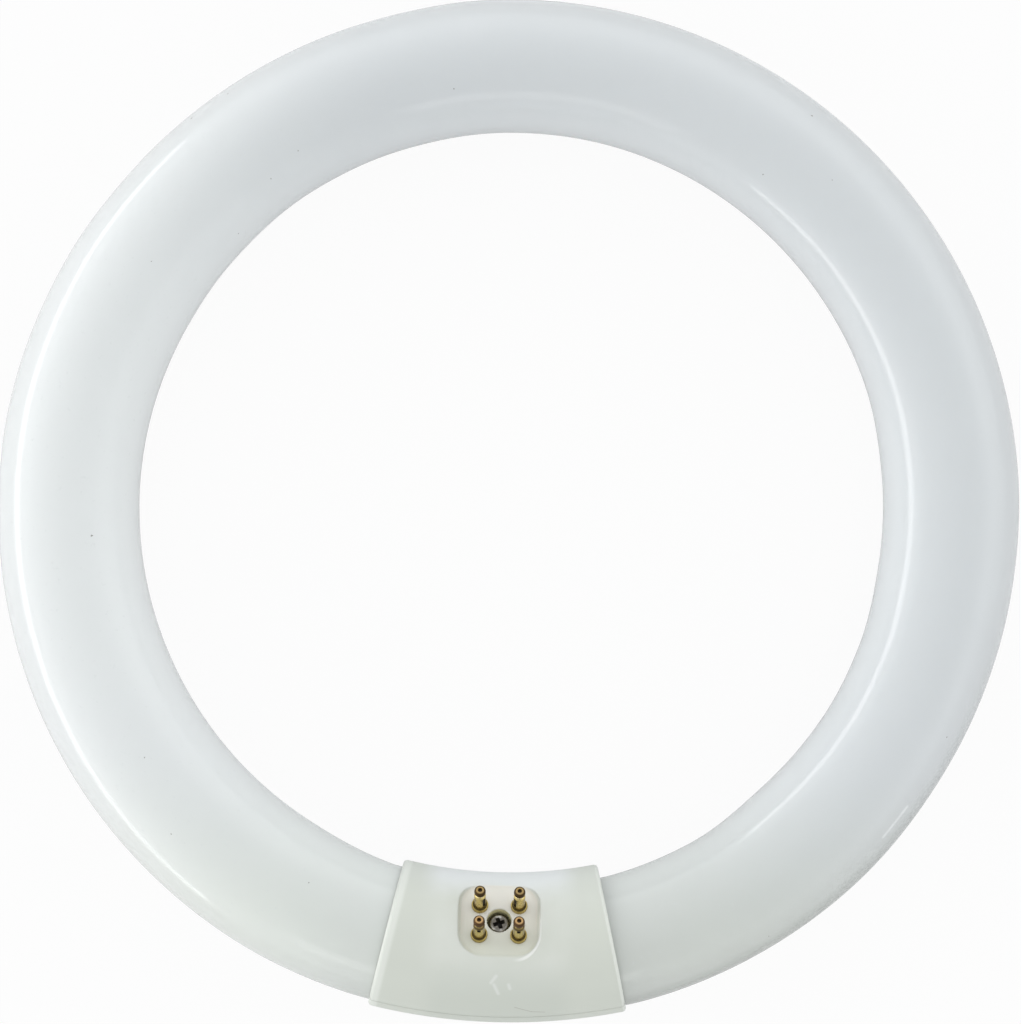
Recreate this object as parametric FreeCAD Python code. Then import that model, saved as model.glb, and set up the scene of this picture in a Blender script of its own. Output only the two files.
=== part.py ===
import FreeCAD
import Part

import math
import os

from FreeCAD import Placement, Rotation, Vector

# A circular fluorescent lamp: a glass ring whose two sealed ends meet inside a moulded two-part base
# with four hollow contact pins. The ring lies flat, with its axis along Z and the base at -Y. The
# origin is on the ring's axis, level with the lowest point of the base. Inside the base the glass is
# bent less than round the rest of the ring, and just outside each mouth it makes up for that.

# Ring, in millimetres. The glass in the base has a larger bend radius than the ring, by the flattening.
RING_DIAMETER = 210.0
TUBE_DIAMETER = 28.0
BASE_FLATTENING = 15.0
MOUTH_BEND_RADIUS = 50.0

# Sealed ends of the glass
END_SHOULDER = 5.0
STEM_MOUTH_DIAMETER = 15.0
STEM_FLOOR_DIAMETER = 10.0
STEM_DEPTH = 8.0
EXHAUST_TIP_DIAMETER = 3.6
EXHAUST_TIP_REACH = 1.5
END_CLEARANCE = 1.2

# Moulded base: a sleeve round both tube ends, whose end rounding takes at most a share of the wall
BASE_LENGTH = 47.0
BASE_WALL = 1.0
BASE_GRIP_CLEARANCE = 0.15
BASE_END_ROUND = 1.0
BASE_END_ROUND_LIMIT = 0.8

# Seam between the two halves
SEAM_GROOVE_WIDTH = 0.4
SEAM_GROOVE_DEPTH = 0.25
LIP_HEIGHT = 1.2
LIP_CLEARANCE = 0.05

# Pocket for the lamp holder, square with round corners and drafted walls
POCKET_SIDE = 15.6
POCKET_DEPTH = 2.0
POCKET_CORNER = 4.5
POCKET_DRAFT = 12.0
POCKET_FLOOR_ROUND = 1.0
PIN_BLOCK_THICKNESS = 4.2

# Contact pins, leaning from the ring's axis towards its centre, in degrees
PIN_LEAN = 35.0
PIN_SPACING_ALONG = 7.92
PIN_SPACING_ACROSS = 6.35
PIN_DIAMETER = 2.3
PIN_WALL = 0.35
PIN_LENGTH = 7.5
PIN_TIP_ROUND = 0.65
PIN_TIP_CUP = 0.9
PIN_TIP_CUP_DEPTH = 0.6
PIN_NECK_DROP = 1.75
PIN_NECK_WIDTH = 1.4
PIN_NECK_DEPTH = 0.5
PIN_FIT = 0.02
COLLAR_DIAMETER = 3.4
COLLAR_HEIGHT = 0.7
COLLAR_ROUND = 0.25
COLLAR_GROOVE = 0.15
RIVET_DIAMETER = 3.0
RIVET_HEIGHT = 0.35
CRIMP_DEPTH = 0.25
CRIMP_RADIUS = 0.5
LONG_CRIMP = 3.5
LONG_CRIMP_DROP = 2.6
LONG_CRIMP_TURN = 52.0
SHORT_CRIMP = 1.0
SHORT_CRIMP_DROP = 2.65

# Screw through the pin block into a post of the back half
SCREW_DIAMETER = 2.5
SCREW_LENGTH = 12.0
SCREW_POINT = 1.6
HEAD_DIAMETER = 4.5
HEAD_HEIGHT = 1.6
HEAD_ROUND = 0.8
HEAD_SINK = 1.2
CROSS_WIDTH = 2.5
CROSS_SLOT = 0.85
CROSS_TURN = 20.0
CROSS_DEPTH = 1.0
CROSS_FLOOR_WIDTH = 0.8
COUNTERBORE_DIAMETER = 5.0
SCREW_CLEARANCE = 0.1
THREAD_FIT = 0.02
POST_WALL = 1.6
POST_BORE_SPARE = 1.0

# Lead wires from the glass to the pin tips
WIRE_DIAMETER = 0.5
WIRE_SEAL = 2.0
WIRE_BEND = 3.0
WIRE_FIT = 0.02

# How far a cutting shape runs past the surface it meets
OVERSHOOT = 1.0

# Sizes that follow from those above
TUBE_RADIUS = TUBE_DIAMETER / 2
BEND_RADIUS = (RING_DIAMETER - TUBE_DIAMETER) / 2
SLEEVE_BORE = TUBE_RADIUS + BASE_GRIP_CLEARANCE
SLEEVE_RADIUS = SLEEVE_BORE + BASE_WALL
MID_HEIGHT = SLEEVE_RADIUS
LIP_RADIUS = (SLEEVE_BORE + SLEEVE_RADIUS) / 2
POCKET_FLOOR = SLEEVE_RADIUS - POCKET_DEPTH
BLOCK_UNDERSIDE = POCKET_FLOOR - PIN_BLOCK_THICKNESS
SCREW_SEAT = POCKET_FLOOR - HEAD_SINK - HEAD_HEIGHT
POST_RADIUS = SCREW_DIAMETER / 2 + POST_WALL
HALF_GAP = POCKET_SIDE / 2 + BASE_WALL + END_CLEARANCE

ORIGIN = Vector(0, 0, 0)
ALONG = Vector(1, 0, 0)
UP = Vector(0, 0, 1)

# The bend line is three kinds of arc that meet in line. Turns are angles about an arc's own upright
# axis, in degrees from the middle of the base: to the glass's end, the base's mouth and the ring's start.
BASE_BEND_RADIUS = BEND_RADIUS + BASE_FLATTENING
END_TURN = math.degrees(HALF_GAP / BASE_BEND_RADIUS)
MOUTH_TURN = math.degrees(BASE_LENGTH / 2 / BASE_BEND_RADIUS)
SPARE_TURN = MOUTH_TURN / 2
BASE_TO_MOUTH = BASE_BEND_RADIUS - MOUTH_BEND_RADIUS
RING_TO_MOUTH = BEND_RADIUS - MOUTH_BEND_RADIUS
RING_TURN = math.degrees(math.asin(math.sin(math.radians(MOUTH_TURN)) * BASE_TO_MOUTH / RING_TO_MOUTH))
RING_AXIS = Vector(0, 0, 0)
MOUTH_AXIS_X = RING_TO_MOUTH * math.sin(math.radians(RING_TURN))
MOUTH_AXIS_Y = -RING_TO_MOUTH * math.cos(math.radians(RING_TURN))
BASE_AXIS = Vector(0, MOUTH_AXIS_Y + BASE_TO_MOUTH * math.cos(math.radians(MOUTH_TURN)), 0)

# The base's own frame: X along the tube, Z along the pins, origin on the tube's bend line
BASE_MIDDLE = BASE_AXIS + Vector(0, -BASE_BEND_RADIUS, MID_HEIGHT)
BASE_FRAME = Placement(BASE_MIDDLE, Rotation(ALONG, -PIN_LEAN))

# Each pin's side along the tube, its side across it, its crimp's length and drop from the tip, and the
# crimp's turn about the pin from the base's outer side, towards +X
PINS = {
    "inner_left": (-1, 1, LONG_CRIMP, LONG_CRIMP_DROP, LONG_CRIMP_TURN),
    "inner_right": (1, 1, LONG_CRIMP, LONG_CRIMP_DROP, -LONG_CRIMP_TURN),
    "outer_left": (-1, -1, SHORT_CRIMP, SHORT_CRIMP_DROP, 0.0),
    "outer_right": (1, -1, SHORT_CRIMP, SHORT_CRIMP_DROP, 0.0),
}


def in_base(shape):
    """The shape, modelled in the base's own frame, at its place on the ring."""
    placed = shape.copy()
    placed.Placement = BASE_FRAME.multiply(placed.Placement)
    return placed


def turned(point, degrees):
    """The point turned about the upright axis that the base is bent round."""
    return BASE_AXIS + Rotation(UP, degrees).multVec(point - BASE_AXIS)


def section_point(radius, degrees):
    """A point of the tube's section in the middle of the base, by its angle from the pins' direction."""
    angle = math.radians(degrees)
    return BASE_FRAME.multVec(Vector(0, radius * math.sin(angle), radius * math.cos(angle)))


def section_arc(radius, start, end):
    middle = (start + end) / 2
    return Part.Arc(*[section_point(radius, a) for a in (start, middle, end)]).toShape()


def line(start, end):
    return Part.LineSegment(start, end).toShape()


def swept_along_base(face):
    """A section face swept along the bend line, past both ends of the base."""
    half = MOUTH_TURN + SPARE_TURN
    start = face.copy()
    start.rotate(BASE_AXIS, UP, -half)
    return start.revolve(BASE_AXIS, UP, 2 * half)


def bent_rod(radius, axis, bend_radius, start, end):
    """A round rod bent about an upright axis, between two turns."""
    circle = Part.makeCircle(radius, axis + Vector(0, -bend_radius, MID_HEIGHT), ALONG)
    face = Part.Face(Part.Wire(circle))
    face.rotate(axis, UP, start)
    return face.revolve(axis, UP, end - start)


def flat_end_edges(rod):
    """The edges round a bent rod's two flat ends."""
    flat_ends = [face for face in rod.Faces if face.Surface.TypeId == "Part::GeomPlane"]
    return [edge for face in flat_ends for edge in face.Edges]


def revolved(edges):
    """A solid turned about Z from a closed outline in the X-Z plane."""
    return Part.Face(Part.Wire(edges)).revolve(ORIGIN, UP, 360)


def outline(points):
    """Straight edges from point to point, as (radius, height) pairs."""
    corners = [Vector(radius, 0, height) for radius, height in points]
    return [line(a, b) for a, b in zip(corners, corners[1:])]


def quarter_round(start, end, radius):
    """A convex quarter arc in the X-Z plane from a vertical side to a level top."""
    corner = Vector(start[0] - radius, 0, start[1])
    reach = radius * math.sqrt(0.5)
    middle = corner + Vector(reach, 0, reach)
    return Part.Arc(Vector(start[0], 0, start[1]), middle, Vector(end[0], 0, end[1])).toShape()


# Glass tube


def tube_end_frame(side):
    """Where the glass ends inside the base, and the direction back into the glass."""
    centre = turned(BASE_MIDDLE, side * END_TURN)
    inward = Rotation(UP, side * END_TURN).multVec(ALONG * side)
    return centre, inward


def stem_recess(side):
    """The funnel where the stem is fused into the end of the glass."""
    centre, inward = tube_end_frame(side)
    return Part.makeCone(STEM_MOUTH_DIAMETER / 2, STEM_FLOOR_DIAMETER / 2, STEM_DEPTH, centre, inward)


def exhaust_tip(side):
    """The sealed stub through which the tube was pumped out."""
    centre, inward = tube_end_frame(side)
    radius = EXHAUST_TIP_DIAMETER / 2
    length = STEM_DEPTH + EXHAUST_TIP_REACH - radius
    foot = centre + inward * STEM_DEPTH
    stub = Part.makeCylinder(radius, length, foot, -inward)
    return stub.fuse(Part.makeSphere(radius, foot - inward * length))


def bent_glass():
    """The whole tube from end to end, one stretch of the bend line after the other."""
    right_mouth = Vector(MOUTH_AXIS_X, MOUTH_AXIS_Y, 0)
    left_mouth = Vector(-MOUTH_AXIS_X, MOUTH_AXIS_Y, 0)
    stretches = [
        (BASE_AXIS, BASE_BEND_RADIUS, END_TURN, MOUTH_TURN),
        (right_mouth, MOUTH_BEND_RADIUS, MOUTH_TURN, RING_TURN),
        (RING_AXIS, BEND_RADIUS, RING_TURN, 360 - RING_TURN),
        (left_mouth, MOUTH_BEND_RADIUS, -RING_TURN, -MOUTH_TURN),
        (BASE_AXIS, BASE_BEND_RADIUS, -MOUTH_TURN, -END_TURN),
    ]
    rods = [bent_rod(TUBE_RADIUS, *stretch) for stretch in stretches]
    return rods[0].multiFuse(rods[1:]).removeSplitter()


def glass_tube(wires):
    tube = bent_glass()
    tube = tube.makeFillet(END_SHOULDER, flat_end_edges(tube))
    for side in (-1, 1):
        tube = tube.cut(stem_recess(side)).fuse(exhaust_tip(side))
    for wire in wires:
        tube = tube.cut(wire)
    return tube.removeSplitter()


# Moulded base


def seam_groove(degrees):
    """The V-shaped line where the two halves meet on the outside."""
    half_width = math.degrees(SEAM_GROOVE_WIDTH / 2 / SLEEVE_RADIUS)
    proud = SLEEVE_RADIUS + SEAM_GROOVE_DEPTH
    corners = [
        section_point(proud, degrees - 2 * half_width),
        section_point(proud, degrees + 2 * half_width),
        section_point(SLEEVE_RADIUS - SEAM_GROOVE_DEPTH, degrees),
    ]
    return swept_along_base(Part.Face(Part.makePolygon(corners + corners[:1])))


def base_envelope():
    """The base's outside as one solid, with rounded ends and the seam lines."""
    solid = bent_rod(SLEEVE_RADIUS, BASE_AXIS, BASE_BEND_RADIUS, -MOUTH_TURN, MOUTH_TURN)
    end_round = min(BASE_END_ROUND, BASE_END_ROUND_LIMIT * BASE_WALL)
    solid = solid.makeFillet(end_round, flat_end_edges(solid))
    for degrees in (-90, 90):
        solid = solid.cut(seam_groove(degrees))
    return solid


def rounded_square(side, corner, height):
    """A square outline with round corners, level at a height of the base's own frame."""
    half = side / 2
    flat = half - corner
    reach = corner * math.sqrt(0.5)
    edges = []
    for quarter in range(4):
        turn = Rotation(UP, 90 * quarter)
        start, middle, end, after = [
            turn.multVec(Vector(x, y, height))
            for x, y in ((half, flat), (flat + reach, flat + reach), (flat, half), (-flat, half))
        ]
        edges.append(Part.Arc(start, middle, end).toShape())
        edges.append(line(end, after))
    return Part.Wire(edges)


def pocket_cut():
    """The space of the pocket, opening outwards with its draft."""
    rise = 2 * POCKET_DEPTH
    widening = rise * math.tan(math.radians(POCKET_DRAFT))
    floor = rounded_square(POCKET_SIDE, POCKET_CORNER, POCKET_FLOOR)
    mouth = rounded_square(POCKET_SIDE + 2 * widening, POCKET_CORNER + widening, POCKET_FLOOR + rise)
    space = Part.makeLoft([floor, mouth], True, True)
    foot = [e for e in space.Edges if abs(e.BoundBox.ZMax - POCKET_FLOOR) < 1e-6]
    return in_base(space.makeFillet(POCKET_FLOOR_ROUND, foot))


def pin_block():
    """The thick floor under the pocket with the pocket's side walls, before the outside trims them."""
    underside = rounded_square(POCKET_SIDE + 2 * BASE_WALL, POCKET_CORNER + BASE_WALL, BLOCK_UNDERSIDE)
    rise = PIN_BLOCK_THICKNESS + POCKET_DEPTH + 2 * OVERSHOOT
    return in_base(Part.Face(underside).extrude(UP * rise))


def bore(radius, bottom, top, x=0.0, y=0.0):
    """A round hole along the pins' direction, between two heights of the base's own frame."""
    return in_base(Part.makeCylinder(radius, top - bottom, Vector(x, y, bottom)))


def pin_place(name):
    side, across = PINS[name][:2]
    return side * PIN_SPACING_ALONG / 2, across * PIN_SPACING_ACROSS / 2


def stepped_sleeve(start, end, step_radius, step_height):
    """Half of the sleeve between two angles of its section. Its inner side runs on past the seams by the
    step's height, as a lip, or stops short of them where that is negative, as a rebate."""
    outer = SLEEVE_RADIUS + OVERSHOOT
    reach = math.degrees(step_height / SLEEVE_BORE)
    first = start - reach
    last = end + reach
    edges = [
        section_arc(outer, start, end),
        line(section_point(outer, end), section_point(step_radius, end)),
        section_arc(step_radius, end, last),
        line(section_point(step_radius, last), section_point(SLEEVE_BORE, last)),
        section_arc(SLEEVE_BORE, last, first),
        line(section_point(SLEEVE_BORE, first), section_point(step_radius, first)),
        section_arc(step_radius, first, start),
        line(section_point(step_radius, start), section_point(outer, start)),
    ]
    return swept_along_base(Part.Face(Part.Wire(edges)))


def base_front():
    half = stepped_sleeve(-90, 90, LIP_RADIUS + LIP_CLEARANCE, -LIP_HEIGHT - LIP_CLEARANCE)
    half = half.fuse(pin_block()).common(base_envelope()).cut(pocket_cut())
    half = half.cut(bore(COUNTERBORE_DIAMETER / 2, SCREW_SEAT, SLEEVE_RADIUS))
    below = BLOCK_UNDERSIDE - OVERSHOOT
    half = half.cut(bore(SCREW_DIAMETER / 2 + SCREW_CLEARANCE, below, SLEEVE_RADIUS))
    for name in PINS:
        half = half.cut(bore(PIN_DIAMETER / 2 + PIN_FIT, below, SLEEVE_RADIUS, *pin_place(name)))
    return half.removeSplitter()


def base_back():
    half = stepped_sleeve(90, 270, LIP_RADIUS, LIP_HEIGHT)
    post = bore(POST_RADIUS, -LIP_RADIUS, BLOCK_UNDERSIDE)
    half = half.fuse(post).common(base_envelope())
    bore_end = SCREW_SEAT - SCREW_LENGTH - POST_BORE_SPARE
    thread = bore(SCREW_DIAMETER / 2 + THREAD_FIT, bore_end, BLOCK_UNDERSIDE + OVERSHOOT)
    return half.cut(thread).removeSplitter()


# Contact pins


def crimp_cut(length, drop):
    """The staked groove down a pin's +X flank, below its neck."""
    offset = PIN_DIAMETER / 2 + CRIMP_RADIUS - CRIMP_DEPTH
    start = ALONG * offset + UP * (PIN_LENGTH - drop - length)
    return Part.makeCylinder(CRIMP_RADIUS, length, start, UP)


def contact_pin(name):
    """A hollow pin with a grooved collar on the pocket's floor, a rivet under the block and a cupped tip."""
    crimp_length, crimp_drop, crimp_turn = PINS[name][2:]
    radius = PIN_DIAMETER / 2
    hollow = radius - PIN_WALL
    grip = WIRE_DIAMETER / 2 + WIRE_FIT
    cup = PIN_TIP_CUP / 2
    collar = COLLAR_DIAMETER / 2
    rivet = RIVET_DIAMETER / 2
    rivet_foot = -PIN_BLOCK_THICKNESS - RIVET_HEIGHT
    shoulder = PIN_LENGTH - PIN_TIP_ROUND
    collar_side = COLLAR_HEIGHT - COLLAR_ROUND
    neck = PIN_LENGTH - PIN_NECK_DROP
    neck_low = neck - PIN_NECK_WIDTH / 2
    neck_high = neck + PIN_NECK_WIDTH / 2
    edges = outline([
        (hollow, rivet_foot),
        (rivet, rivet_foot),
        (rivet, -PIN_BLOCK_THICKNESS),
        (radius, -PIN_BLOCK_THICKNESS),
        (radius, 0),
        (collar, 0),
        (collar, collar_side),
    ])
    rim = collar - COLLAR_ROUND
    edges.append(quarter_round((collar, collar_side), (rim, COLLAR_HEIGHT), COLLAR_ROUND))
    edges.append(Part.Arc(
        Vector(rim, 0, COLLAR_HEIGHT),
        Vector((rim + radius) / 2, 0, COLLAR_HEIGHT - COLLAR_GROOVE),
        Vector(radius, 0, COLLAR_HEIGHT),
    ).toShape())
    edges += outline([(radius, COLLAR_HEIGHT), (radius, neck_low)])
    edges.append(Part.Arc(
        Vector(radius, 0, neck_low),
        Vector(radius - PIN_NECK_DEPTH, 0, neck),
        Vector(radius, 0, neck_high),
    ).toShape())
    edges += outline([(radius, neck_high), (radius, shoulder)])
    edges.append(quarter_round((radius, shoulder), (radius - PIN_TIP_ROUND, PIN_LENGTH), PIN_TIP_ROUND))
    edges += outline([
        (radius - PIN_TIP_ROUND, PIN_LENGTH),
        (cup, PIN_LENGTH),
        (cup, PIN_LENGTH - PIN_TIP_CUP_DEPTH),
        (grip, PIN_LENGTH - PIN_TIP_CUP_DEPTH),
        (grip, neck_low),
        (hollow, neck_low - (hollow - grip)),
        (hollow, rivet_foot),
    ])
    pin = revolved(edges).cut(crimp_cut(crimp_length, crimp_drop))
    pin.rotate(ORIGIN, UP, crimp_turn - 90)
    pin.translate(Vector(*pin_place(name), POCKET_FLOOR))
    return in_base(pin)


# Screw


def cross_recess():
    """Two crossed slots that narrow towards the bottom."""
    floor = HEAD_HEIGHT - CROSS_DEPTH
    wings = [
        Part.makeBox(x, y, CROSS_DEPTH, Vector(-x / 2, -y / 2, floor))
        for x, y in ((CROSS_WIDTH, CROSS_SLOT), (CROSS_SLOT, CROSS_WIDTH))
    ]
    taper = Part.makeCone(CROSS_FLOOR_WIDTH / 2, CROSS_WIDTH / 2, CROSS_DEPTH, UP * floor)
    return wings[0].fuse(wings[1]).common(taper)


def base_screw():
    head = HEAD_DIAMETER / 2
    shank = SCREW_DIAMETER / 2
    side = HEAD_HEIGHT - HEAD_ROUND
    edges = outline([
        (0, -SCREW_LENGTH),
        (shank, SCREW_POINT - SCREW_LENGTH),
        (shank, 0),
        (head, 0),
        (head, side),
    ])
    edges.append(quarter_round((head, side), (head - HEAD_ROUND, HEAD_HEIGHT), HEAD_ROUND))
    edges += outline([(head - HEAD_ROUND, HEAD_HEIGHT), (0, HEAD_HEIGHT), (0, -SCREW_LENGTH)])
    screw = revolved(edges).cut(cross_recess())
    screw.rotate(ORIGIN, UP, CROSS_TURN)
    screw.translate(UP * SCREW_SEAT)
    return in_base(screw)


# Lead wires


def lead_wire(name):
    """A wire from the seal in the glass, straight to under its pin, and up inside the pin to its cup."""
    side = PINS[name][0]
    along, across = pin_place(name)
    sealed = BASE_FRAME.multVec(Vector(side * (STEM_DEPTH + WIRE_SEAL), across, 0))
    start = turned(sealed, side * END_TURN)
    corner = BASE_FRAME.multVec(Vector(along, across, 0))
    tip = BASE_FRAME.multVec(Vector(along, across, POCKET_FLOOR + PIN_LENGTH - PIN_TIP_CUP_DEPTH))
    back = (start - corner).normalize()
    ahead = (tip - corner).normalize()
    half_turn = back.getAngle(ahead) / 2
    tangent = WIRE_BEND / math.tan(half_turn)
    bisector = (back + ahead).normalize()
    nearest = corner + bisector * (WIRE_BEND / math.sin(half_turn) - WIRE_BEND)
    bend_start = corner + back * tangent
    bend_end = corner + ahead * tangent
    path = Part.Wire([
        line(start, bend_start),
        Part.Arc(bend_start, nearest, bend_end).toShape(),
        line(bend_end, tip),
    ])
    section = Part.Wire(Part.makeCircle(WIRE_DIAMETER / 2, start, back))
    return path.makePipeShell([section], True, False)


def build():
    """Every piece of the lamp, by its name."""
    wires = {f"lead_wire_{name}": lead_wire(name) for name in PINS}
    pins = {f"contact_pin_{name}": contact_pin(name) for name in PINS}
    return {
        "glass_tube": glass_tube(wires.values()),
        "base_front": base_front(),
        "base_back": base_back(),
        "base_screw": base_screw(),
        **pins,
        **wires,
    }


os.makedirs("parts", exist_ok=True)
for node, shape in build().items():
    shape.exportStep(f"parts/{node}.step")
    print(f"{node}: {len(shape.Solids)} solid, {shape.Volume:.1f} mm3, valid {shape.isValid()}")
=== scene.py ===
# %% [markdown]
# # A circular fluorescent lamp
#
# The lamp is a glass ring, white inside with phosphor, whose two sealed ends meet in a moulded base with
# four brass pins. The sizes come from the CAD model, which is loaded first and never moved. Blender adds
# what a solid can't carry: the finishes, the grit, and the light of a photographer's white tent.

import math

import bpy
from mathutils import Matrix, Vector


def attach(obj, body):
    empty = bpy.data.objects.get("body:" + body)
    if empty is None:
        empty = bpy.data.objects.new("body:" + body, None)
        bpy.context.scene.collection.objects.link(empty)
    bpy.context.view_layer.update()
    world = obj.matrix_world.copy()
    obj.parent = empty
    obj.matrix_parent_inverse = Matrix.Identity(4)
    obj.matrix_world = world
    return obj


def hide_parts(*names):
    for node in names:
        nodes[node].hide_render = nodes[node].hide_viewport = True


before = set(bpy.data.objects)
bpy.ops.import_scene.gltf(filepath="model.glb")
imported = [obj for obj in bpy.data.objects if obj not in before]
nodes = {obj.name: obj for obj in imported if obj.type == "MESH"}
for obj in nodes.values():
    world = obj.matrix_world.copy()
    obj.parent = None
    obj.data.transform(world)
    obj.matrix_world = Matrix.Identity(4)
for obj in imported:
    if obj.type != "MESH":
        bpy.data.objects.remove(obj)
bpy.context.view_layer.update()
print("CAD nodes:", ", ".join(sorted(nodes)))

# %% [markdown]
# ## Where the base is
#
# The lamp lies flat, with the ring's axis upright. The base sits at -Y and has a frame of its own: along the
# tube, which is X there, across it towards the ring's centre, and along the pins. Every mark on the base is
# easier to place in that frame, so its directions are worked out once.

# %% The base's own frame
MM = 0.001
MID_HEIGHT = 15.15 * MM
BASE_MIDDLE = Vector((0, -90.478 * MM, MID_HEIGHT))
PIN_LEAN = math.radians(35)
ACROSS = Vector((0, math.cos(PIN_LEAN), -math.sin(PIN_LEAN)))
PINWARD = Vector((0, math.sin(PIN_LEAN), math.cos(PIN_LEAN)))
SLEEVE_RADIUS = 15.15 * MM
POCKET_FLOOR = 13.15 * MM
print("base middle", [round(c, 4) for c in BASE_MIDDLE], "pins point to", [round(c, 3) for c in PINWARD])

# %% [markdown]
# ## Writing shaders as formulas
#
# A finish is mostly arithmetic on masks. Wiring Math nodes by hand hides that arithmetic, so a small class
# wraps an output socket and lets Python's operators add the nodes. Any other node comes from one method,
# which sets the node's options first, because some options change which sockets it has.


# %% A socket with arithmetic
def feed(slot, value):
    """Link a socket to the slot, or set the slot's own value."""
    if isinstance(value, Signal):
        slot.id_data.links.new(value.socket, slot)
    else:
        slot.default_value = value


class Signal:
    """An output socket. Arithmetic on it adds Math nodes."""

    def __init__(self, socket):
        self.socket = socket

    def math(self, operation, *operands):
        node = self.socket.id_data.nodes.new("ShaderNodeMath")
        node.operation = operation
        for slot, operand in zip(node.inputs, operands):
            feed(slot, operand)
        return Signal(node.outputs[0])

    def __add__(self, other):
        return self.math("ADD", self, other)

    def __radd__(self, other):
        return self.math("ADD", other, self)

    def __sub__(self, other):
        return self.math("SUBTRACT", self, other)

    def __rsub__(self, other):
        return self.math("SUBTRACT", other, self)

    def __mul__(self, other):
        return self.math("MULTIPLY", self, other)

    def __rmul__(self, other):
        return self.math("MULTIPLY", other, self)

    def __truediv__(self, other):
        return self.math("DIVIDE", self, other)

    def __rtruediv__(self, other):
        return self.math("DIVIDE", other, self)

    def __pow__(self, other):
        return self.math("POWER", self, other)

    def __rpow__(self, other):
        return self.math("POWER", other, self)

    def __abs__(self):
        return self.math("ABSOLUTE", self)

    def max(self, other):
        return self.math("MAXIMUM", self, other)

    def min(self, other):
        return self.math("MINIMUM", self, other)


# %% A material and its nodes
class Finish:
    """A material or a world, and the nodes in it."""

    def __init__(self, owner):
        self.owner = owner
        owner.use_nodes = True
        self.tree = owner.node_tree
        self.tree.nodes.clear()

    def node(self, kind, settings, inputs, out=0):
        """Add a node: its options, then its sockets' values or links. Returns one output, if it has any."""
        node = self.tree.nodes.new("ShaderNode" + kind)
        for option, value in settings.items():
            setattr(node, option, value)
        for name, value in inputs.items():
            feed(self.pick(node.inputs, name), value)
        return Signal(self.pick(node.outputs, out)) if node.outputs else None

    @staticmethod
    def pick(sockets, name):
        if isinstance(name, int):
            return sockets[name]
        return next(s for s in sockets if s.name == name and s.enabled)

    def place(self):
        """The point on the surface, in metres of the CAD frame."""
        return self.node("TexCoord", {}, {}, "Object")

    def along(self, direction, origin):
        """How far the point lies from an origin along a direction."""
        inputs = {0: self.place(), 1: direction}
        return self.node("VectorMath", {"operation": "DOT_PRODUCT"}, inputs, "Value") - direction.dot(origin)

    def noise(self, scale, detail, roughness=0.5):
        inputs = {"Vector": self.place(), "Scale": scale, "Detail": detail, "Roughness": roughness}
        return self.node("TexNoise", {}, inputs, "Fac")

    def smooth(self, value, low, high, start=0.0, end=1.0):
        """A soft step from start to end as the value goes from low to high."""
        return self.node("MapRange", {"interpolation_type": "SMOOTHSTEP"},
                         {"Value": value, "From Min": low, "From Max": high, "To Min": start, "To Max": end})

    def mix(self, factor, first, second, blend="MIX"):
        return self.node("Mix", {"data_type": "RGBA", "blend_type": blend},
                         {"Factor": factor, "A": first, "B": second}, "Result")

    def near_line(self, start, end, width):
        """A mask along a straight mark between two points, full at its middle and gone at its width."""
        step = end - start
        offset = self.node("VectorMath", {"operation": "SUBTRACT"}, {0: self.place(), 1: start})
        along = self.node("VectorMath", {"operation": "DOT_PRODUCT"}, {0: offset, 1: step}, "Value")
        share = (along / step.length_squared).max(0.0).min(1.0)
        foot = self.node("VectorMath", {"operation": "SCALE"}, {0: step, "Scale": share})
        distance = self.node("VectorMath", {"operation": "DISTANCE"}, {0: offset, 1: foot}, "Value")
        return self.smooth(distance, 0.0, width, 1.0, 0.0)

    def principled(self, inputs):
        return self.node("BsdfPrincipled", {}, inputs)

    def surface(self, shader):
        """End a material with a shader, or with a Principled shader that has these inputs."""
        shader = self.principled(shader) if isinstance(shader, dict) else shader
        self.node("OutputMaterial", {}, {"Surface": shader})
        return self.owner


def finish(name):
    return Finish(bpy.data.materials.new(name))


def dress(material, *pieces):
    """Give pieces a material in place of what they have."""
    for target in pieces:
        target.data.materials.clear()
        target.data.materials.append(material)
    print(material.name, "on", len(pieces), "pieces,", len(material.node_tree.nodes), "nodes")


# %% [markdown]
# ## The glass ring
#
# A ring lamp is drawn as a straight tube, heated and wound on a drum, so its thickness is never quite even:
# this one is a few percent thicker at its left. The CAD solid is an even tube, and its mesh is made of
# uneven triangles that show in a crisp reflection. A sweep of circles along the bend line gives even quads,
# and each circle can have a radius of its own. The ends in the base keep their shoulders, their funnels and
# their pumping stubs.

# %% The bend line
TUBE_RADIUS = 14.0 * MM
RING_BEND, MOUTH_BEND, BASE_BEND = 91.0 * MM, 50.0 * MM, 106.0 * MM
END_TURN, MOUTH_TURN = 10.0 * MM / BASE_BEND, 23.5 * MM / BASE_BEND
RING_TURN = math.asin(math.sin(MOUTH_TURN) * (BASE_BEND - MOUTH_BEND) / (RING_BEND - MOUTH_BEND))
MOUTH_X = (RING_BEND - MOUTH_BEND) * math.sin(RING_TURN)
MOUTH_Y = -(RING_BEND - MOUTH_BEND) * math.cos(RING_TURN)
BASE_Y = MOUTH_Y + (BASE_BEND - MOUTH_BEND) * math.cos(MOUTH_TURN)
UP = Vector((0, 0, 1))


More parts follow.
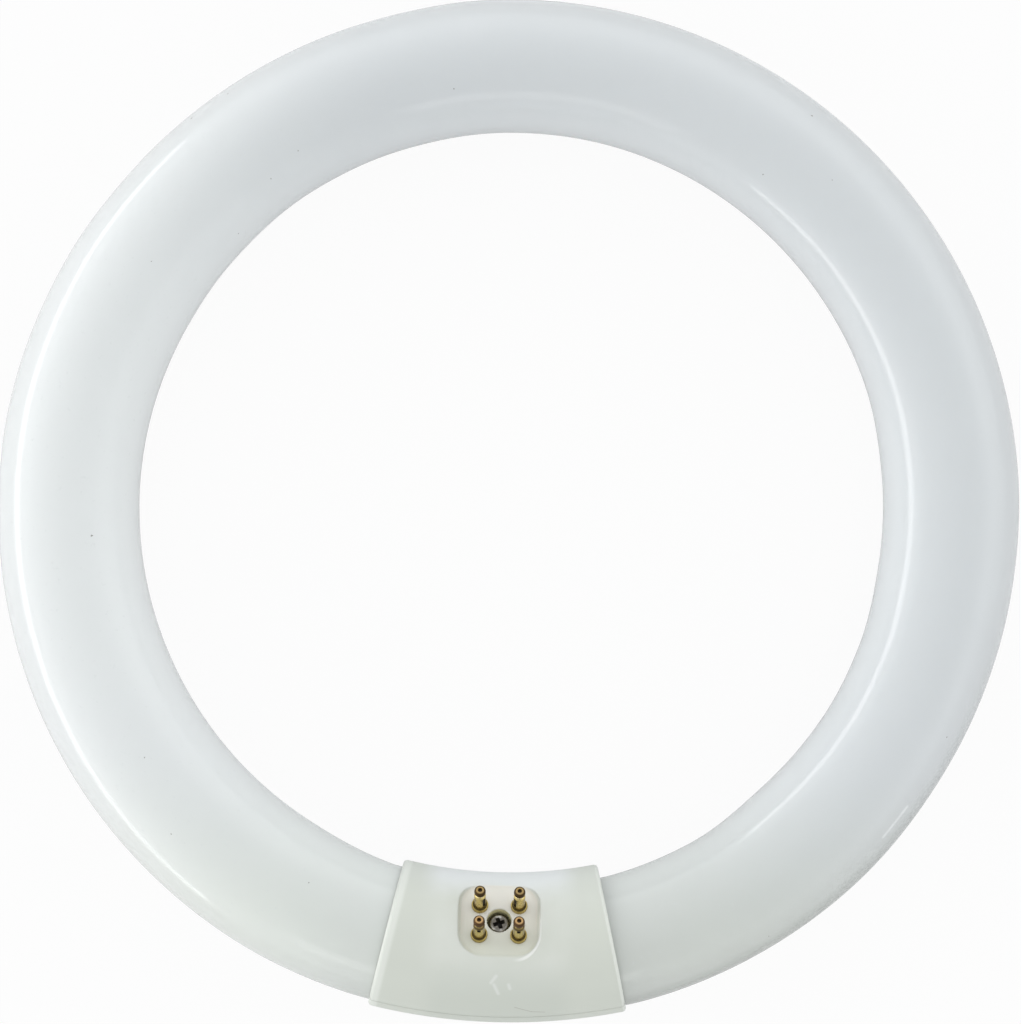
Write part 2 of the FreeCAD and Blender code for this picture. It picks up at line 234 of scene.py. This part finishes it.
def on_bend(turn):
    """Centre and outward direction on the bend line. The turn runs from the base round to the base again."""
    signed = turn if turn <= math.pi else turn - 2 * math.pi
    side = 1 if signed >= 0 else -1
    if abs(signed) < MOUTH_TURN:
        axis, bend = Vector((0, BASE_Y, MID_HEIGHT)), BASE_BEND
    elif abs(signed) < RING_TURN:
        axis, bend = Vector((side * MOUTH_X, MOUTH_Y, MID_HEIGHT)), MOUTH_BEND
    else:
        axis, bend = Vector((0, 0, MID_HEIGHT)), RING_BEND
    outward = Vector((math.sin(turn), -math.cos(turn), 0))
    return axis + outward * bend, outward


print("ring begins", round(math.degrees(RING_TURN), 2), "degrees from the middle of the base")

# %% Radius along the tube
# Turn in degrees, share of the nominal radius, and how far the tube lies outwards in millimetres.
THICKNESS = [
    (0, 0.970, 0.42), (14, 0.938, 0.87), (30, 0.940, 0.84), (44, 0.972, 0.40), (60, 0.956, 0.28),
    (70, 0.962, 0.22), (82, 0.980, 0.05), (96, 0.983, 0.20), (112, 0.963, 0.48), (165, 0.960, 0.56),
    (182, 0.963, 0.48), (198, 0.957, 0.06), (214, 0.962, -0.06), (230, 0.980, -0.30), (242, 1.002, -0.24),
    (262, 1.018, 0.0), (300, 1.026, 0.0), (328, 1.020, 0.0), (346, 0.985, 0.21), (360, 0.970, 0.42),
]
STUB, STUB_REACH, FUNNEL = 1.8, 1.5, 8.0


def soft_step(value):
    value = min(max(value, 0.0), 1.0)
    return value * value * (3 - 2 * value)


def tube_at(turn):
    """The tube's centre, outward direction and radius at a turn, smoothed between the measured places."""
    centre, outward = on_bend(turn)
    degrees = math.degrees(turn) % 360
    for (before, *here), (after, *there) in zip(THICKNESS, THICKNESS[1:]):
        if degrees <= after:
            blend = soft_step((degrees - before) / (after - before))
            share, shift = (a + (b - a) * blend for a, b in zip(here, there))
            return centre + outward * shift * MM, outward, TUBE_RADIUS * share


def on_glass(turn_degrees, angle_degrees):
    """A point on the glass and the way it faces, by the turn and the angle from the outer side upwards."""
    centre, outward, radius = tube_at(math.radians(turn_degrees))
    angle = math.radians(angle_degrees)
    normal = math.cos(angle) * outward + math.sin(angle) * UP
    return centre + normal * radius, normal


def end_profile():
    """One sealed end as (depth into the glass, radius) in millimetres, from the stub's tip outwards."""
    points = [(STUB * (1 - math.cos(a)) - STUB_REACH, STUB * math.sin(a))
              for a in (math.radians(d) for d in (0.5, 30, 60, 90))]
    points += [(FUNNEL - 0.3, STUB), (FUNNEL, STUB + 0.3), (FUNNEL, 5.0), (0.2, 7.44), (0.0, 7.7)]
    points += [(5 - 5 * math.cos(a), 9 + 5 * math.sin(a)) for a in (math.radians(15 * k) for k in range(7))]
    return points


RING_STEPS = 420
near_end = [(END_TURN + depth * MM / BASE_BEND, radius * MM) for depth, radius in end_profile()]
first_turn = near_end[-1][0]
step = (2 * math.pi - 2 * first_turn) / RING_STEPS
middle = [(first_turn + step * k, tube_at(first_turn + step * k)[2]) for k in range(1, RING_STEPS)]
far_end = [(2 * math.pi - turn, radius) for turn, radius in reversed(near_end)]
radii = [radius for _, radius in middle]
print("tube radius", round(min(radii) / MM, 2), "to", round(max(radii) / MM, 2), "mm")

# %% Sweep circles along the bend line
ROUND_STEPS = 96


def piece(name, points, faces):
    mesh = bpy.data.meshes.new(name)
    mesh.from_pydata(points, [], faces)
    mesh.shade_smooth()
    made = bpy.data.objects.new(name, mesh)
    bpy.context.scene.collection.objects.link(made)
    return made


def swept(name, circles, steps):
    """A closed skin over circles given as (centre, first direction, second direction, radius)."""
    points = []
    for centre, first, second, radius in circles:
        for k in range(steps):
            a = 2 * math.pi * k / steps
            points.append(centre + radius * (math.cos(a) * first + math.sin(a) * second))
    faces = []
    for row in range(len(circles) - 1):
        for k in range(steps):
            a, b = row * steps + k, row * steps + (k + 1) % steps
            faces.append((a, b, b + steps, a + steps))
    faces.append(tuple(range(steps))[::-1])
    faces.append(tuple(range(len(points) - steps, len(points))))
    return piece(name, points, faces)


circles = []
for turn, radius in near_end + middle + far_end:
    centre, outward, _ = tube_at(turn)
    circles.append((centre, outward, UP, radius))
ring = swept("glass_ring", circles, ROUND_STEPS)
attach(ring, "root")
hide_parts("glass_tube")
print(ring.name, len(ring.data.polygons), "faces")

# %% [markdown]
# ## White glass
#
# The tube is clear soda glass with a matt white powder baked on its inside. Light reaches the eye twice:
# mirrored by the glass, and scattered by the powder behind it. A Principled shader has both, as a rough white
# base under a clear coat, and its subsurface part lets light spread inside the white layer. The powder's
# colour also carries painted light: it is painted whiter towards the left, where the strip lamp is near,
# lighter on the inner side of the bend and darker on its outer side, with painted shade on the outer rim at
# the front right. Beside the base it is yellower, painted darker to the right of the base as painted shade,
# and painted a little lighter close to the base as painted light. In the shader, light that spreads would get
# lost in the dark sleeve, while in a real hollow tube it comes back, so beside the base a shader that doesn't
# spread it takes over.

# %% Coat of powder
RIGHT, BACK, ORIGIN = Vector((1, 0, 0)), Vector((0, 1, 0)), Vector((0, 0, 0))
POWDER_SHADED_RIGHT, POWDER_LIT_LEFT = (0.617, 0.640, 0.650, 1), (0.732, 0.753, 0.749, 1)
YELLOWER_SHADED_RIGHT, YELLOWER_LIT_LEFT = (0.93, 0.935, 0.865, 1), (1.015, 1.025, 0.955, 1)
glass = finish("white_coated_glass")
cloud = glass.noise(26, 3, 0.55)
grain = glass.noise(900, 2, 0.6)
rightward = glass.along(RIGHT, ORIGIN)
backward = glass.along(BACK, ORIGIN)
# Painted light: the coat is painted whiter towards the left, where the strip lamp is near, and greyer towards
# the right.
painted_left_light = glass.smooth(rightward + 0.06 * backward + 12 * MM * cloud, -90 * MM, -10 * MM, 1.0, 0.0)
powder = glass.mix(painted_left_light, POWDER_SHADED_RIGHT, POWDER_LIT_LEFT)
# Beside the base the coat is yellower, and painted darker to the right of the base than to its left, as
# painted shade on the side away from the lamp.
near_base = glass.smooth(backward, -95 * MM, -45 * MM, 1.0, 0.0)
left_of_base = glass.smooth(rightward, -40 * MM, 10 * MM, 1.0, 0.0)
yellower_and_shaded = glass.mix(left_of_base, YELLOWER_SHADED_RIGHT, YELLOWER_LIT_LEFT)
powder = glass.mix(near_base, powder, yellower_and_shaded, "MULTIPLY")
powder = glass.mix(glass.smooth(grain, 0.62, 0.8, 0.0, 0.35), powder, (0.62, 0.645, 0.64, 1))
print("coat of powder:", len(glass.tree.nodes), "nodes so far")

# %% Painted light inside the bend, painted shade outside it


def grey(level):
    return (level, level, level, 1)


flat_place = glass.node("VectorMath", {"operation": "MULTIPLY"}, {0: glass.place(), 1: (1, 1, 0)})
from_axis = glass.node("VectorMath", {"operation": "LENGTH"}, {0: flat_place}, "Value")
# Painted light and shade: the coat is painted lighter on the inner side of the bend and darker on its outer
# side.
painted_inner_light = glass.smooth(from_axis, 78.0 * MM, 84.0 * MM, 1.0, 0.0)
painted_outer_shade = glass.smooth(from_axis, 96.5 * MM, 103 * MM)
powder = glass.mix(painted_inner_light, powder, glass.mix(painted_left_light, grey(1.12), grey(1.07)), "MULTIPLY")
powder = glass.mix(painted_outer_shade, powder, glass.mix(painted_left_light, grey(0.90), grey(0.93)), "MULTIPLY")
# Painted shade: the outer rim at the front right, on the side away from the lamp, is painted darker still.
front_right = glass.smooth(0.47 * rightward - 0.88 * backward, 60 * MM, 100 * MM)
rim = front_right * glass.smooth(from_axis, 100.5 * MM, 104.5 * MM)
powder = glass.mix(rim, powder, (0.62, 0.635, 0.61, 1), "MULTIPLY")
print("sides of the bend:", len(glass.tree.nodes), "nodes so far")

# %% Painted light beside the base, and one painted glint
GLINT_TURNS, GLINT_ANGLE, GLINT_WIDTH = (54.6, 50.2), 48.7, 0.6 * MM
beside_base = glass.smooth(abs(rightward), 24 * MM, 40 * MM, 1.0, 0.0)
beside_base = beside_base * glass.smooth(backward, -60 * MM, -40 * MM, 1.0, 0.0)
# Painted light: close to the base the coat is painted a little lighter, against the shade of the sleeve.
powder = glass.mix(beside_base, powder, grey(1.08), "MULTIPLY")
# A painted highlight: a thin bright streak on the outer side of the tube at the front right.
painted_glint = [on_glass(turn, GLINT_ANGLE)[0] for turn in GLINT_TURNS]
powder = glass.mix(0.5 * glass.near_line(*painted_glint, GLINT_WIDTH), powder, (0.86, 0.88, 0.88, 1))
print("painted_glint", round((painted_glint[1] - painted_glint[0]).length / MM, 1), "mm long")

# %% Finish of the glass
SPREAD = 30 * MM
coated = {
    "Base Color": powder,
    "Roughness": 0.55 + 0.12 * cloud,
    "Coat Weight": 1.0,
    "Coat Roughness": 0.1,
    "Coat IOR": 1.5,
}
spreading = {"Subsurface Weight": 1.0, "Subsurface Radius": (1, 1, 1), "Subsurface Scale": SPREAD}
kinds = {0: beside_base, 1: glass.principled(coated | spreading), 2: glass.principled(coated)}
dress(glass.surface(glass.node("MixShader", {}, kinds)), ring, nodes["glass_tube"])

# %% [markdown]
# ## Flaws in the coat
#
# A few dark specks of grit were caught in the powder. A texture fine enough for them would have to cover the
# whole ring, so each is a tiny ragged flake on the glass, placed by its turn round the ring and its angle
# round the tube.

# %% Grit
# Turn round the ring and angle round the tube in degrees, and size in millimetres.
GRIT = [
    (215.6, 36.5, 0.22), (220.6, 31.8, 0.30), (217.3, 130.5, 0.20), (212.0, 122.7, 0.18),
    (189.0, 117.4, 0.20), (236.8, 105.0, 0.17), (226.0, 152.0, 0.18), (143.9, 51.1, 0.28),
    (137.0, 87.1, 0.16), (144.3, 122.1, 0.20), (275.1, 119.5, 0.30), (305.7, 101.2, 0.20),
    (315.3, 78.9, 0.20), (63.9, 52.8, 0.22), (32.7, 46.1, 0.18), (333.2, 115.2, 0.18),
]
GRIT_CORNERS = 9
GRIT_TOP, GRIT_SLOPE = 0.05 * MM, 0.08 * MM


def grit_flakes():
    points, faces = [], []
    for index, (turn_degrees, angle_degrees, size) in enumerate(GRIT):
        turn = math.radians(turn_degrees)
        place, normal = on_glass(turn_degrees, angle_degrees)
        around = Vector((math.cos(turn), math.sin(turn), 0))
        other = normal.cross(around)
        top = place + normal * GRIT_TOP
        first = len(points)
        points.append(top)
        for k in range(GRIT_CORNERS):
            a = 2 * math.pi * k / GRIT_CORNERS
            reach = size * MM * (1 + 0.3 * math.sin(3 * a + index) + 0.2 * math.cos(2 * a - index))
            points.append(top - normal * GRIT_SLOPE + reach * (math.cos(a) * around + math.sin(a) * other))
        faces += [(first, first + 1 + k, first + 1 + (k + 1) % GRIT_CORNERS) for k in range(GRIT_CORNERS)]
    return piece("grit", points, faces)


grit = grit_flakes()
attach(grit, "root")
ash = finish("dark_grit")
dress(ash.surface({
    "Base Color": ash.mix(ash.noise(4000, 2), (0.16, 0.16, 0.15, 1), (0.34, 0.34, 0.32, 1)),
    "Roughness": 0.6,
}), grit)

# %% [markdown]
# ## Moulded base
#
# The base is two halves of off-white plastic, screwed together round the tube's ends. Moulded plastic is
# satin rather than glossy: the tool's fine spark texture breaks up its reflections. The CAD solids have the
# real edges, so they stay, and a Bevel node rounds the light on the edges that a mould leaves soft. Its
# colour
# carries painted light and shade: lighter on the inner side and darker on the outer side, creamy in the
# pocket and painted darker towards the pocket's outer edge, a light olive painted into the screw's shaded
# well, painted highlights along the ends and on one corner of the pocket's rim, and darker towards the ends.
# Scuffs and a hairline are marked as well. Each is a mask in the base's own frame.

# %% Marks on the base


def on_sleeve(along, degrees):
    """A point on the sleeve, by millimetres along it and degrees from its top outwards."""
    centre, outward = on_bend(along * MM / BASE_BEND % (2 * math.pi))
    a = math.radians(degrees)
    return centre + SLEEVE_RADIUS * (math.sin(a) * outward + math.cos(a) * UP)


SCUFFS = [
    (on_sleeve(-0.32, 10.2), on_sleeve(-1.28, 15.9)),
    (on_sleeve(-0.67, 17.5), on_sleeve(0.17, 25.3)),
    (on_sleeve(2.13, 17.2), on_sleeve(2.35, 20.6)),
]
HAIRLINE = [on_sleeve(3.26, 39.6), on_sleeve(6.33, 45.9), on_sleeve(8.77, 47.4)]
print(len(SCUFFS), "scuffs and a hairline of", len(HAIRLINE) - 1, "strokes")

# %% Tone of the plastic
plastic = finish("satin_base_plastic")
tone = plastic.noise(120, 3, 0.55)
spark = plastic.noise(2600, 2, 0.6)
rightward = plastic.along(RIGHT, ORIGIN)
across = plastic.along(ACROSS, BASE_MIDDLE)
# Painted light and shade: the base is painted lighter on its inner side and darker on its outer side, over a
# random tone.
inner_side = plastic.smooth(across + 4 * MM * tone, 4 * MM, 13 * MM)
outer_side = plastic.smooth(across, -14 * MM, -7 * MM, 1.0, 0.0)
mould = plastic.mix(plastic.smooth(tone, 0.3, 0.7), (0.680, 0.705, 0.640, 1), (0.710, 0.732, 0.675, 1))
mould = plastic.mix(inner_side, mould, (0.800, 0.826, 0.822, 1))
mould = plastic.mix(outer_side, mould, (0.600, 0.630, 0.568, 1))
print("tone of the plastic:", len(plastic.tree.nodes), "nodes so far")

# %% Pocket and screw well
POCKET_STRAIGHT, POCKET_CORNER = 3.3 * MM, 4.5 * MM


def distance(first, second):
    return (first * first + second * second) ** 0.5


above_floor = plastic.along(PINWARD, BASE_MIDDLE + PINWARD * POCKET_FLOOR)
beyond = [(abs(value) - POCKET_STRAIGHT).max(0.0) for value in (rightward, across)]
from_pocket = distance(*beyond)
pocket = plastic.smooth(from_pocket, 4.2 * MM, 4.6 * MM, 1.0, 0.0)
pocket = pocket * plastic.smooth(above_floor, -3 * MM, -2 * MM)
# The pocket's floor is creamy, and painted darker towards its outer edge as painted shade.
inwards = plastic.smooth(across, -7 * MM, 3 * MM)
cream = plastic.mix(inwards, (0.675, 0.690, 0.605, 1), (0.815, 0.800, 0.735, 1))
mould = plastic.mix(pocket, mould, cream)
# Painted light: the wall of the screw's well is painted a light olive against its shadow.
well = plastic.smooth(distance(rightward, across), 2.55 * MM, 2.7 * MM, 1.0, 0.0)
well = well * plastic.smooth(above_floor, -0.15 * MM, 0.0, 1.0, 0.0)
well = well * plastic.smooth(above_floor, -4 * MM, -3 * MM)
mould = plastic.mix(well, mould, (0.84, 0.80, 0.50, 1))
print("pocket", round(2 * (POCKET_STRAIGHT + POCKET_CORNER) / MM, 1), "mm across")

# %% Painted highlights, darker ends, and scuffs
# A painted highlight on the pocket's rim round its lower right corner, where the wall catches the lamp.
painted_rim_highlight = plastic.smooth(abs(from_pocket - 4.9 * MM), 0.1 * MM, 0.4 * MM, 0.75, 0.0)
painted_rim_highlight = painted_rim_highlight * plastic.smooth(rightward - 0.45 * across, 6.2 * MM, 8.5 * MM)
painted_rim_highlight = painted_rim_highlight * plastic.smooth(above_floor, -1 * MM, 0.0)
mould = plastic.mix(painted_rim_highlight, mould, (0.93, 0.94, 0.91, 1))
# Darker towards the two ends of the base.
towards_ends = plastic.smooth(abs(rightward), 11 * MM, 17 * MM, 0.0, 0.8)
mould = plastic.mix(towards_ends, mould, (0.645, 0.672, 0.605, 1))
# Painted highlights along both ends of the base, wider at the left end, which faces the lamp.
for side, reach in ((-1, 2.2), (1, 0.8)):
    inwards = Vector((-side * math.cos(MOUTH_TURN), -math.sin(MOUTH_TURN), 0))
    from_end = plastic.along(inwards, Vector((0, BASE_Y, 0)))
    painted_sheen = plastic.smooth(from_end, 0.6 * reach * MM, reach * MM, 0.55, 0.0)
    mould = plastic.mix(painted_sheen, mould, (0.86, 0.885, 0.83, 1))
for start, end in SCUFFS:
    mould = plastic.mix(0.34 * plastic.near_line(start, end, 0.6 * MM), mould, (0.9, 0.91, 0.9, 1))
for start, end in zip(HAIRLINE, HAIRLINE[1:]):
    mould = plastic.mix(0.75 * plastic.near_line(start, end, 0.16 * MM), mould, (0.36, 0.35, 0.30, 1))
print("marks on the plastic:", len(plastic.tree.nodes), "nodes so far")

# %% Finish of the base
soft_edges = plastic.node("Bevel", {"samples": 6}, {"Radius": 0.7 * MM})
texture = plastic.node("Bump", {}, {"Height": spark, "Distance": 0.01 * MM, "Strength": 0.35,
                                    "Normal": soft_edges})
dress(plastic.surface({
    "Base Color": mould,
    "Roughness": 0.36 + 0.12 * spark,
    "Normal": texture,
}), nodes["base_front"], nodes["base_back"])

# %% [markdown]
# ## Brass pins
#
# Each pin is a thin brass tube, crimped on its lead wire and riveted in the base. Handled brass is dull
# yellow on its flank and brown at the tip. Its colour also carries painted light: painted shade on the
# flanks and, near-black, in the hollows of the cup, the slot and the collar's groove, and a painted highlight
# on the neck of the two pins nearer to the ring's centre. The two outer pins are darker at the neck and the
# shoulder, and each head is darker round its edge. A height above the pocket's floor and a distance from the
# pin's axis say which part of a pin a point is on, so one material serves all four.

# %% Places on a pin
PIN_ALONG, PIN_ACROSS = 3.96 * MM, 3.175 * MM
brass = finish("dulled_pin_brass")
height = brass.along(PINWARD, BASE_MIDDLE + PINWARD * POCKET_FLOOR)
across = brass.along(ACROSS, BASE_MIDDLE)
from_row = abs(abs(brass.along(RIGHT, ORIGIN)) - PIN_ALONG)
off_axis = distance(from_row, abs(abs(across) - PIN_ACROSS))
inner_pin = brass.smooth(across, -1 * MM, 1 * MM)
tip = brass.smooth(height, 5.95 * MM, 6.2 * MM)
rim = tip * brass.smooth(off_axis, 0.66 * MM, 0.9 * MM)
eye = tip * brass.smooth(off_axis, 0.35 * MM, 0.5 * MM, 1.0, 0.0)
neck = brass.smooth(abs(height - 5.75 * MM), 0.35 * MM, 0.7 * MM, 1.0, 0.0)
shoulder = brass.smooth(abs(height - 5.0 * MM), 0.15 * MM, 0.4 * MM, 1.0, 0.0)
side = brass.smooth(from_row, 0.6 * MM, 1.05 * MM) * brass.smooth(height, 0.7 * MM, 0.9 * MM)
slot = brass.smooth(off_axis, 1.08 * MM, 1.14 * MM, 1.0, 0.0)
slot = slot * brass.smooth(height, 4.95 * MM, 5.05 * MM, 1.0, 0.0)
collar = brass.smooth(off_axis, 1.15 * MM, 1.2 * MM)
groove = brass.smooth(abs(off_axis - 1.3 * MM), 0.08 * MM, 0.24 * MM, 1.0, 0.0)
groove = groove * brass.smooth(height, 0.66 * MM, 0.74 * MM, 1.0, 0.0)
print("places on a pin:", len(brass.tree.nodes), "nodes so far")

# %% Colours of the brass
blotch = brass.noise(700, 3, 0.6)
flank = brass.mix(blotch, (0.60, 0.46, 0.14, 1), (0.80, 0.65, 0.26, 1))
worn = brass.mix(inner_pin, (0.54, 0.35, 0.16, 1), (0.41, 0.29, 0.125, 1))
rim_dark = brass.mix(inner_pin, (0.10, 0.058, 0.030, 1), (0.075, 0.047, 0.022, 1))
colour = brass.mix(brass.smooth(blotch, 0.45, 0.8, 0.0, 0.5), flank, (0.24, 0.17, 0.06, 1))
# Painted shade: each pin's flanks, to the left and right of its axis, are painted darker.
colour = brass.mix(0.55 * side, colour, (0.15, 0.10, 0.035, 1))
colour = brass.mix(0.6 * collar, colour, (0.28, 0.20, 0.055, 1))
# A painted highlight on the neck of the two inner pins.
colour = brass.mix(neck * inner_pin, colour, (0.72, 0.60, 0.32, 1))
colour = brass.mix(tip, colour, worn)
# Darker round the edge of each head.
colour = brass.mix(rim, colour, rim_dark)
# The two outer pins are darker at the neck and the shoulder.
outer_neck_shoulder_dark = shoulder.max(neck) * (1 - inner_pin)
colour = brass.mix(0.85 * outer_neck_shoulder_dark, colour, (0.06, 0.036, 0.02, 1))
print("colours of the brass:", len(brass.tree.nodes), "nodes so far")

# %% Finish of the pins
pins = [node for name, node in nodes.items() if name.startswith("contact_pin")]
# Painted shade in the hollows: the cup at the tip, the slot and the collar's groove are painted near-black
# and less metallic.
dark = eye.max(slot).max(0.8 * groove)
dress(brass.surface({
    "Base Color": brass.mix(dark, colour, (0.02, 0.014, 0.008, 1)),
    "Metallic": 1.0 - 0.4 * dark,
    "Roughness": 0.22 + 0.12 * blotch + 0.2 * tip + 0.3 * dark,
}), *pins)

# %% [markdown]
# ## Screw and lead wires
#
# One cross-headed screw holds the two halves together, sunk below the pocket's floor. Its plating is grey
# and greasy from the driver. Its colour carries painted light: painted highlights brighten patches of the
# head's top and a ring round its edge, and the cross is painted near-black as painted shade. The lead wires
# come up inside the pins and end in their cups, where only their cut ends show.

# %% Places on the screw
steel = finish("plated_screw_steel")
smear = steel.noise(500, 3, 0.6)
below = steel.along(PINWARD, BASE_MIDDLE + PINWARD * POCKET_FLOOR)
from_middle = distance(steel.along(RIGHT, ORIGIN), steel.along(ACROSS, BASE_MIDDLE))
# Painted highlights: the plating is painted bright in patches on the top of the head and on a ring round its
# edge.
painted_sheen = steel.smooth(smear, 0.46, 0.60)
flat = steel.smooth(from_middle, 1.75 * MM, 2.0 * MM, 1.0, 0.0)
bright_ring = steel.smooth(abs(from_middle - 1.62 * MM), 0.1 * MM, 0.28 * MM, 0.9, 0.0)
painted_highlight = (flat * (0.12 + 0.6 * painted_sheen)).max(bright_ring * (0.3 + 0.7 * painted_sheen))
# Painted shade: the cross recess is painted near-black and less metallic.
cross = steel.smooth(below, -1.36 * MM, -1.24 * MM, 1.0, 0.0)
cross = cross * steel.smooth(from_middle, 1.2 * MM, 1.4 * MM, 1.0, 0.0)
print("places on the screw:", len(steel.tree.nodes), "nodes so far")

# %% Finish of the screw
plating = steel.mix(painted_highlight, (0.075, 0.062, 0.045, 1), (0.66, 0.65, 0.62, 1))
dress(steel.surface({
    "Base Color": steel.mix(cross, plating, (0.012, 0.010, 0.008, 1)),
    "Metallic": 1.0 - 0.6 * cross,
    "Roughness": 0.16 + 0.3 * smear + 0.3 * cross,
}), nodes["base_screw"])

# %% Finish of the wires
wire = finish("bare_lead_wire")
wires = [node for name, node in nodes.items() if name.startswith("lead_wire")]
drawn = wire.noise(1500, 2, 0.5)
dress(wire.surface({
    "Base Color": wire.mix(drawn, (0.06, 0.045, 0.03, 1), (0.13, 0.10, 0.07, 1)),
    "Metallic": 1.0,
    "Roughness": 0.45 + 0.2 * drawn,
}), *wires)

# %% [markdown]
# ## White floor
#
# A catalogue picture shows its object on pure white. A floor as bright as that would throw too much light
# back at the lamp, so the floor is pale grey paper, and only the camera sees it as white light, with a little
# of the paper left to keep the lamp's soft shadow. The glass and the metal mirror some of that white as well,
# but mostly the paper, so that the edges of the tube darken a little and stand out.

# %% Floor
FLOOR_SPAN = 6.0
PAPER_SHARE = 0.06
MIRRORED_SHARE = 0.8
PAPER_GREY = 0.76
half = FLOOR_SPAN / 2
corners = [(-half, -half, 0), (half, -half, 0), (half, half, 0), (-half, half, 0)]
floor = piece("floor", corners, [(0, 1, 2, 3)])
paper = finish("white_paper")
seen = (1 - PAPER_SHARE) * paper.node("LightPath", {}, {}, "Is Camera Ray")
for kind in ("Is Glossy Ray", "Is Transmission Ray"):
    seen = seen.max((1 - MIRRORED_SHARE) * paper.node("LightPath", {}, {}, kind))
sheet = paper.node("BsdfDiffuse", {}, {"Color": grey(PAPER_GREY)})
glow = paper.node("Emission", {}, {"Color": grey(1), "Strength": 1.0})
dress(paper.surface(paper.node("MixShader", {}, {0: seen, 1: sheet, 2: glow})), floor)

# %% [markdown]
# ## Light tent
#
# The glass shows where the light came from. Nothing shines overhead. A bright band down the left of the ring
# and a thin line on the inner side at the right are one long strip lamp, far off and low at the left, seen in
# two walls of the ring. The soft line on the far side is a small panel in front of the lamp. The rest is the
# tent's white cloth: darker overhead, where the camera looks in, and low at the front right, where the tent
# is open, lighter at the back, and lightest above the strip lamp and at the right, where a window lights it.
# A world that varies with direction is such a tent.

# %% World
CLOTH_LEVEL = 1.315
CLOTH_COLOUR = (0.985, 1, 1.01, 1)
tent = Finish(bpy.data.worlds.new("white_tent"))
bpy.context.scene.world = tent.owner
ray = tent.node("TexCoord", {}, {}, "Generated")
right, back, high = (tent.node("SeparateXYZ", {}, {"Vector": ray}, axis) for axis in "XYZ")
window = tent.smooth(high, 0.15, 0.5) * tent.smooth(high, 0.5, 0.85, 1.0, 0.0)
window = window * tent.smooth(right + 0.25 * back, 0.15, 0.85)
lit = tent.smooth(high, 0.10, 0.25) * tent.smooth(high, 0.35, 0.65, 1.0, 0.0)
lit = lit * tent.smooth(right, -0.85, -0.45, 1.0, 0.0)
opening = tent.smooth(0.7 * right - 0.71 * back, 0.5, 0.95) * tent.smooth(high, 0.1, 0.45, 1.0, 0.0)
cloth = CLOTH_LEVEL + 0.19 * back - 0.7 * high + 0.45 * window + 0.42 * lit - 0.3 * opening
to_camera = tent.node("LightPath", {}, {}, "Is Camera Ray")
level = cloth + to_camera * (1 - cloth)
cloth_light = tent.node("Background", {}, {"Color": CLOTH_COLOUR, "Strength": level})
tent.node("OutputWorld", {}, {"Surface": cloth_light})
print("tent:", len(tent.tree.nodes), "nodes")

# %% Lamps


def strip_lamp(name, place, aim, length, tall, radiance):
    """A flat lamp of a given radiance, where 1 is the white of the floor."""
    data = bpy.data.lights.new(name, "AREA")
    data.shape = "RECTANGLE"
    data.size, data.size_y = length, tall
    data.energy = radiance * math.pi * length * tall
    lamp = bpy.data.objects.new(name, data)
    bpy.context.scene.collection.objects.link(lamp)
    lamp.location = place
    lamp.rotation_euler = (Vector(aim) - Vector(place)).to_track_quat("-Z", "Y").to_euler()
    print(name, round(data.energy, 3), "W")


strip_lamp("left_strip", place=(-2.20, -0.15, 0.34), aim=(0, -0.05, 0.03),
           length=5.4, tall=0.43, radiance=2.5)
strip_lamp("front_panel", place=(-0.06, -1.04, 0.63), aim=(0, 0.05, 0.03),
           length=0.76, tall=0.31, radiance=0.9)

# %% [markdown]
# ## Camera
#
# The camera looks straight down on the ring from about twice its diameter. Its focal length follows from
# the scale of the photograph in pixels, and a small roll brings the base to the left of the bottom.

# %% Camera
IMAGE_WIDTH = 1021
CAMERA_HEIGHT = 0.420
CAMERA_ROLL = math.radians(1.45)
FOCAL_PIXELS = 2032
SENSOR_WIDTH = 36
data = bpy.data.cameras.new("camera")
data.sensor_fit = "HORIZONTAL"
data.sensor_width = SENSOR_WIDTH
data.lens = SENSOR_WIDTH * FOCAL_PIXELS / IMAGE_WIDTH
camera = bpy.data.objects.new("camera", data)
bpy.context.scene.collection.objects.link(camera)
camera.location = (0.0002, -0.0006, MID_HEIGHT + CAMERA_HEIGHT)
camera.rotation_euler = (0, 0, CAMERA_ROLL)
bpy.context.scene.camera = camera
bpy.context.scene.view_settings.view_transform = "Standard"
print("lens", round(data.lens, 2), "mm")
